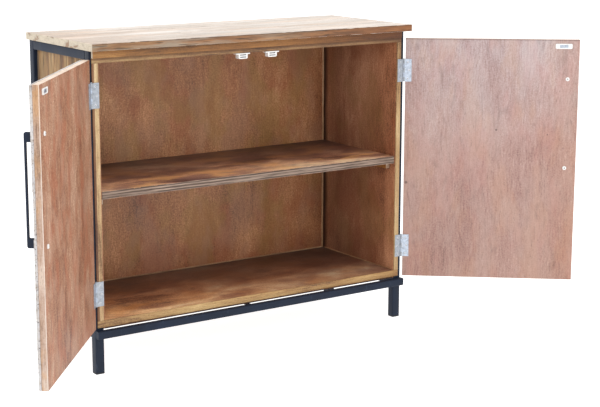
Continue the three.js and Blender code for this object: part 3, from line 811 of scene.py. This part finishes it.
def corner_beads():
    """Thin light strips in the carcass corners, along the back and the right-hand wall."""
    floor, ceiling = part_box("bottom_panel")[1].z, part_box("ceiling_panel")[0].z
    shelf_low, shelf_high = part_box("shelf")
    left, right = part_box("side_panel_left")[1].x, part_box("side_panel_right")[0].x
    back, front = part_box("back_panel")[0].y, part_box("bottom_panel")[0].y
    wide, flat, gap = 5.0 * MM, 2.2 * MM, 1.0 * MM
    beads = {
        "floor_back": ((left, back - flat, floor), (right - wide - gap, back, floor + 3 * MM)),
        "floor_right": ((right - flat, front + 8 * MM, floor), (right, back - 9 * MM, floor + flat)),
    }
    levels = {"lower": (floor, shelf_low.z), "upper": (shelf_high.z, ceiling)}
    for level, (bottom, top) in levels.items():
        beads[f"right_{level}"] = ((right - wide - gap, back - flat, bottom),
                                   (right - gap, back, top))
        beads[f"left_{level}"] = ((left + gap, back - flat, bottom),
                                  (left + wide + gap, back, top))
    for name, (low, high) in beads.items():
        low, high = Vector(low), Vector(high)
        size = list(high - low)
        along = size.index(max(size))
        axes = (along, *others(along))
        bm = worn_board(low, high, along, 0.5 * MM, 1.0, 31, 15 * MM)
        finish_piece(f"bead_{name}", bm, "cabinet", [BEAD], axes, 31)


def build_carcass():
    build_edging()
    for side in SIDES:
        side_panel(side)
        board_for(f"shelf_cleat_{side}", (Y, Z, X), [APRON, APRON, TOP_END], seed=9)
    ceiling_panel()
    board_for("bottom_panel", (X, Y, Z), [FLOOR_FACE, FLOOR_EDGE, FLOOR_EDGE],
              arris=0.5 * MM, seed=4)
    board_for("shelf", (X, Y, Z), [SHELF_FACE, SHELF_EDGE, SHELF_EDGE],
              arris=0.9 * MM, wear=1.4, seed=6, step=9 * MM)
    board_for("back_panel", (Z, X, Y), [BACK, SHELF_EDGE, SHELF_EDGE],
              arris=0.3 * MM, seed=1)
    corner_beads()


# ---------------------------------------------------------------- doors

CAP_DROPS = (99.5 * MM, 327.8 * MM)  # the screw caps behind a handle, down from the door's top
# Rings as turned() takes them: caps in mm, screws as shares of the head's radius.
CAP_PROFILE = [(5.0, 0.0, False), (5.0, 1.6, False), (4.4, 2.5, False), (2.9, 3.0, False),
               (2.2, 2.9, True), (2.0, 2.1, True)]
SCREW_PROFILE = [(1.0, 0.0, False), (0.94, 0.08, False), (0.7, 0.14, False),
                 (0.62, 0.15, True), (0.5, 0.02, True)]


def scaled(profile, scale):
    return [(radius * scale, height * scale, crossed) for radius, height, crossed in profile]


def screw(bm, centre, normal, radius):
    """Adds a countersunk screw head that stands a little proud of the surface."""
    turned(bm, Vector(centre), normal, scaled(SCREW_PROFILE, radius))


def build_door(side):
    board_for(f"door_panel_{side}", (Z, X, Y), [DOOR_INNER[side], DOOR_EDGE, DOOR_TOP],
              arris=0.5 * MM, seed=11 if side == "left" else 14)
    for i, plank in enumerate(DOOR_BOARDS, 1):
        board_for(f"door_board_{side}_{i}", (X, Z, Y), [plank, BOARD_EDGE, BOARD_EDGE],
                  arris=1.1 * MM, wear=1.2, seed=20 + i, step=10 * MM)
    _, door_high = square_box(f"door_panel_{side}")
    handle_low, handle_high = square_box(f"handle_{side}")
    middle = (handle_low.x + handle_high.x) / 2
    bm = bmesh.new()
    for drop in CAP_DROPS:
        centre = Vector((middle, door_high.y, door_high.z - drop))
        turned(bm, centre, (0, 1, 0), scaled(CAP_PROFILE, MM))
    finish_piece(f"screw_caps_{side}", bm, f"{side}_door", [WHITE, RECESS_SHADE])


# ---------------------------------------------------------------- handles

HANDLE_FOOT = 20 * MM
HANDLE_BAR = 4.2 * MM
HANDLE_CORNER = 4 * MM
HANDLE_FILLET = 2 * MM


def arc(centre_y, centre_z, radius, start, end, steps=6):
    """Points round part of a circle, by its angles in degrees."""
    angles = [math.radians(start + (end - start) * i / steps) for i in range(steps + 1)]
    return [(centre_y + radius * math.cos(a), centre_z + radius * math.sin(a)) for a in angles]


def build_handle(side):
    """A flat bar bent over to two deep feet, drawn as its side outline and given its width."""
    node = f"handle_{side}"
    low, high = square_box(node)
    corner, fillet = HANDLE_CORNER, HANDLE_FILLET
    inner = low.y + HANDLE_BAR
    outline = [(high.y, low.z)]
    outline += arc(low.y + corner, low.z + corner, corner, 270, 180)
    outline += arc(low.y + corner, high.z - corner, corner, 180, 90)
    outline += [(high.y, high.z), (high.y, high.z - HANDLE_FOOT)]
    outline += arc(inner + fillet, high.z - HANDLE_FOOT - fillet, fillet, 90, 180)
    outline += arc(inner + fillet, low.z + HANDLE_FOOT + fillet, fillet, 180, 270)
    outline += [(high.y, low.z + HANDLE_FOOT)]
    bm = prism(outline, X, low.x, high.x, 0.3 * MM)
    piece = finish_piece(node + "_look", bm, NODE_BODY[node], [STEEL])
    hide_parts(node)


# ---------------------------------------------------------------- hinges, catches and strikes

# Each screw of a leaf: how far from the hinge axis, and how far above the leaf's middle.
HINGE_SCREWS = ((10.0 * MM, -21 * MM), (13.5 * MM, 0.0), (10.0 * MM, 21 * MM))
HINGE_SCREW_RADIUS = 2.4 * MM
HINGE_FACE = 0.4 * MM  # how far a leaf's free face lies from the hinge axis
SMALL_SCREW_RADIUS = 2.2 * MM
CATCH_SCREW_REACH = 15.7 * MM
CATCH_SCREW_DROP = 2.6 * MM
POLE_RISES = (("lower", 3.0 * MM), ("upper", 8.2 * MM))  # up from the catch's lower face
POLE_HALF_WIDTH = 8.5 * MM
POLE_HEIGHT = 2.1 * MM
STRIKE_HALF_WIDTH = 10.5 * MM
STRIKE_HALF_HEIGHT = 3.8 * MM


def hinge_screws():
    """Three screws in each leaf, on the face that shows when the doors are open."""
    for side in SIDES:
        axis = Vector(door_joint(side)["pos_m"])
        inboard = 1 if side == "left" else -1
        for level in ("lower", "upper"):
            for leaf, facing in (("frame_leaf", -1), ("door_leaf", 1)):
                node = f"hinge_{level}_{side}_{leaf}"
                low, high = square_box(node)
                bm = bmesh.new()
                for reach, rise in HINGE_SCREWS:
                    place = (axis.x + inboard * reach, axis.y - facing * HINGE_FACE,
                             (low.z + high.z) / 2 + rise)
                    screw(bm, place, (0, facing, 0), HINGE_SCREW_RADIUS)
                finish_piece(f"{node}_screws", bm, NODE_BODY[node], [SCREW, RECESS_SHADE])


def catch_fittings():
    """The two pole plates in the front of each catch, and the screws in its flange."""
    for side in SIDES:
        low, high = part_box(f"magnetic_catch_{side}")
        middle = (low + high) / 2
        for name, rise in POLE_RISES:
            bottom = low.z + rise
            bm = slab((middle.x - POLE_HALF_WIDTH, low.y - 0.1 * MM, bottom),
                      (middle.x + POLE_HALF_WIDTH, low.y + 0.8 * MM, bottom + POLE_HEIGHT), 0.15 * MM)
            finish_piece(f"catch_pole_{name}_{side}", bm, "cabinet", [POLE])
        bm = bmesh.new()
        for reach in (-CATCH_SCREW_REACH, CATCH_SCREW_REACH):
            place = (middle.x + reach, middle.y, high.z - CATCH_SCREW_DROP)
            screw(bm, place, (0, 0, -1), SMALL_SCREW_RADIUS)
        finish_piece(f"catch_screws_{side}", bm, "cabinet", [SCREW, RECESS_SHADE])


def strike_fittings():
    """The steel plate that each catch holds, let into its white strike, and its screw."""
    for side in SIDES:
        low, high = square_box(f"strike_plate_{side}")
        middle = (low + high) / 2
        left, right = middle.x - STRIKE_HALF_WIDTH, middle.x + STRIKE_HALF_WIDTH
        bottom, top = middle.z - STRIKE_HALF_HEIGHT, middle.z + STRIKE_HALF_HEIGHT
        bm = slab((left, high.y - 0.4 * MM, bottom), (right, high.y + 0.2 * MM, top), 0.15 * MM)
        finish_piece(f"strike_steel_{side}", bm, f"{side}_door", [ZINC])
        bm = bmesh.new()
        screw(bm, (middle.x, high.y - 0.1 * MM, middle.z), (0, 1, 0), SMALL_SCREW_RADIUS)
        finish_piece(f"strike_screw_{side}", bm, f"{side}_door", [SCREW, RECESS_SHADE])


# The CAD pieces that keep their shape: how their names start, their finish and bevel in mm.
CAD_FINISHES = {
    "hinge_": (ZINC, 0.15),
    "support_lug": (STEEL, 0.4),
    "foot_cap_": (BLACK_PLASTIC, 0.4),
    "strike_plate_": (WHITE, 0.4),
    "magnetic_catch_": (WHITE, 0.4),
}


def finish_cad_nodes():
    """Pieces whose CAD shape is right keep it, with a bevel and a proper finish."""
    for name, node in frame["nodes"].items():
        prefix = next((p for p in CAD_FINISHES if name.startswith(p)), None)
        if prefix is None:
            continue
        material, width = CAD_FINISHES[prefix]
        # The frame leaves take the darker zinc, painted shade.
        if name.endswith("frame_leaf"):
            material = ZINC_SHADED
        node.data.materials.clear()
        node.data.materials.append(material)
        bevel = node.modifiers.new("arris", "BEVEL")
        bevel.width = width * MM
        bevel.segments = 2
        bevel.limit_method = "ANGLE"
        bevel.angle_limit = math.radians(40)


# ---------------------------------------------------------------- studio

SKY_STRENGTH = 1.02
FLOOR_REACH = 30.0
FLOOR_GLOW = 0.85
CAMERA_FROM_POST = Vector((-1.4959, -3.0109, 0.0))  # from the front left post's outer front corner
CAMERA_HEIGHT = 1.1055
CAMERA_TILT = 78.633  # degrees up from straight down
CAMERA_TURN = -33.627
CAMERA_LENS = 90.18
CAMERA_SHIFT = (0.0360, -0.0205)


def build_studio():
    world = bpy.data.worlds.new("studio")
    bpy.context.scene.world = world
    world.use_nodes = True
    background = world.node_tree.nodes["Background"]
    background.inputs["Color"].default_value = (1.0, 1.0, 1.0, 1.0)
    background.inputs["Strength"].default_value = SKY_STRENGTH
    build_floor()
    area_light("key", (-2.2, -3.2, 2.6), (0.0, 0.1, 0.45), 2.0, 30.0)
    area_light("top", (0.0, 0.2, 3.0), (0.0, 0.15, 0.0), 2.4, 26.0)
    scene = bpy.context.scene
    scene.view_settings.view_transform = "Standard"
    scene.view_settings.look = "None"
    scene.cycles.use_denoising = True


def build_floor():
    """A pale floor that glows a little, as on a product table lit from below."""
    mesh = bpy.data.meshes.new("floor")
    corners = [(x * FLOOR_REACH, y * FLOOR_REACH, 0) for x, y in ((-1, -1), (1, -1), (1, 1), (-1, 1))]
    mesh.from_pydata(corners, [], [(0, 1, 2, 3)])
    floor = bpy.data.objects.new("floor", mesh)
    s = Shader("floor_paint")
    clouds = s.noise(s.local(), (3.0, 3.0, 3.0), 3.0)
    shade = s.ramp(clouds, [(0.3, (194, 194, 194)), (0.7, (198, 198, 198))])
    mesh.materials.append(s.surface(Base_Color=shade, Roughness=0.8, Emission_Color=(1, 1, 1, 1),
                                    Emission_Strength=FLOOR_GLOW))
    bpy.context.scene.collection.objects.link(floor)


def area_light(name, place, target, size, power):
    light = bpy.data.lights.new(name, "AREA")
    light.shape = "DISK"
    light.size = size
    light.energy = power
    lamp = bpy.data.objects.new(name, light)
    lamp.location = place
    lamp.rotation_euler = (Vector(target) - Vector(place)).to_track_quat("-Z", "Y").to_euler()
    bpy.context.scene.collection.objects.link(lamp)


def build_camera():
    """A long lens from the front left, a little above the top."""
    low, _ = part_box("post_front_left")
    camera = bpy.data.cameras.new("camera")
    camera.sensor_width = 36.0
    camera.lens = CAMERA_LENS
    camera.shift_x, camera.shift_y = CAMERA_SHIFT
    holder = bpy.data.objects.new("camera", camera)
    holder.location = (low.x + CAMERA_FROM_POST.x, low.y + CAMERA_FROM_POST.y, CAMERA_HEIGHT)
    holder.rotation_euler = (math.radians(CAMERA_TILT), 0.0, math.radians(CAMERA_TURN))
    bpy.context.scene.collection.objects.link(holder)
    bpy.context.scene.camera = holder


build_frame()
build_top()
build_carcass()
for door_side in SIDES:
    build_door(door_side)
    build_handle(door_side)
hinge_screws()
catch_fittings()
strike_fittings()
finish_cad_nodes()
build_studio()
build_camera()
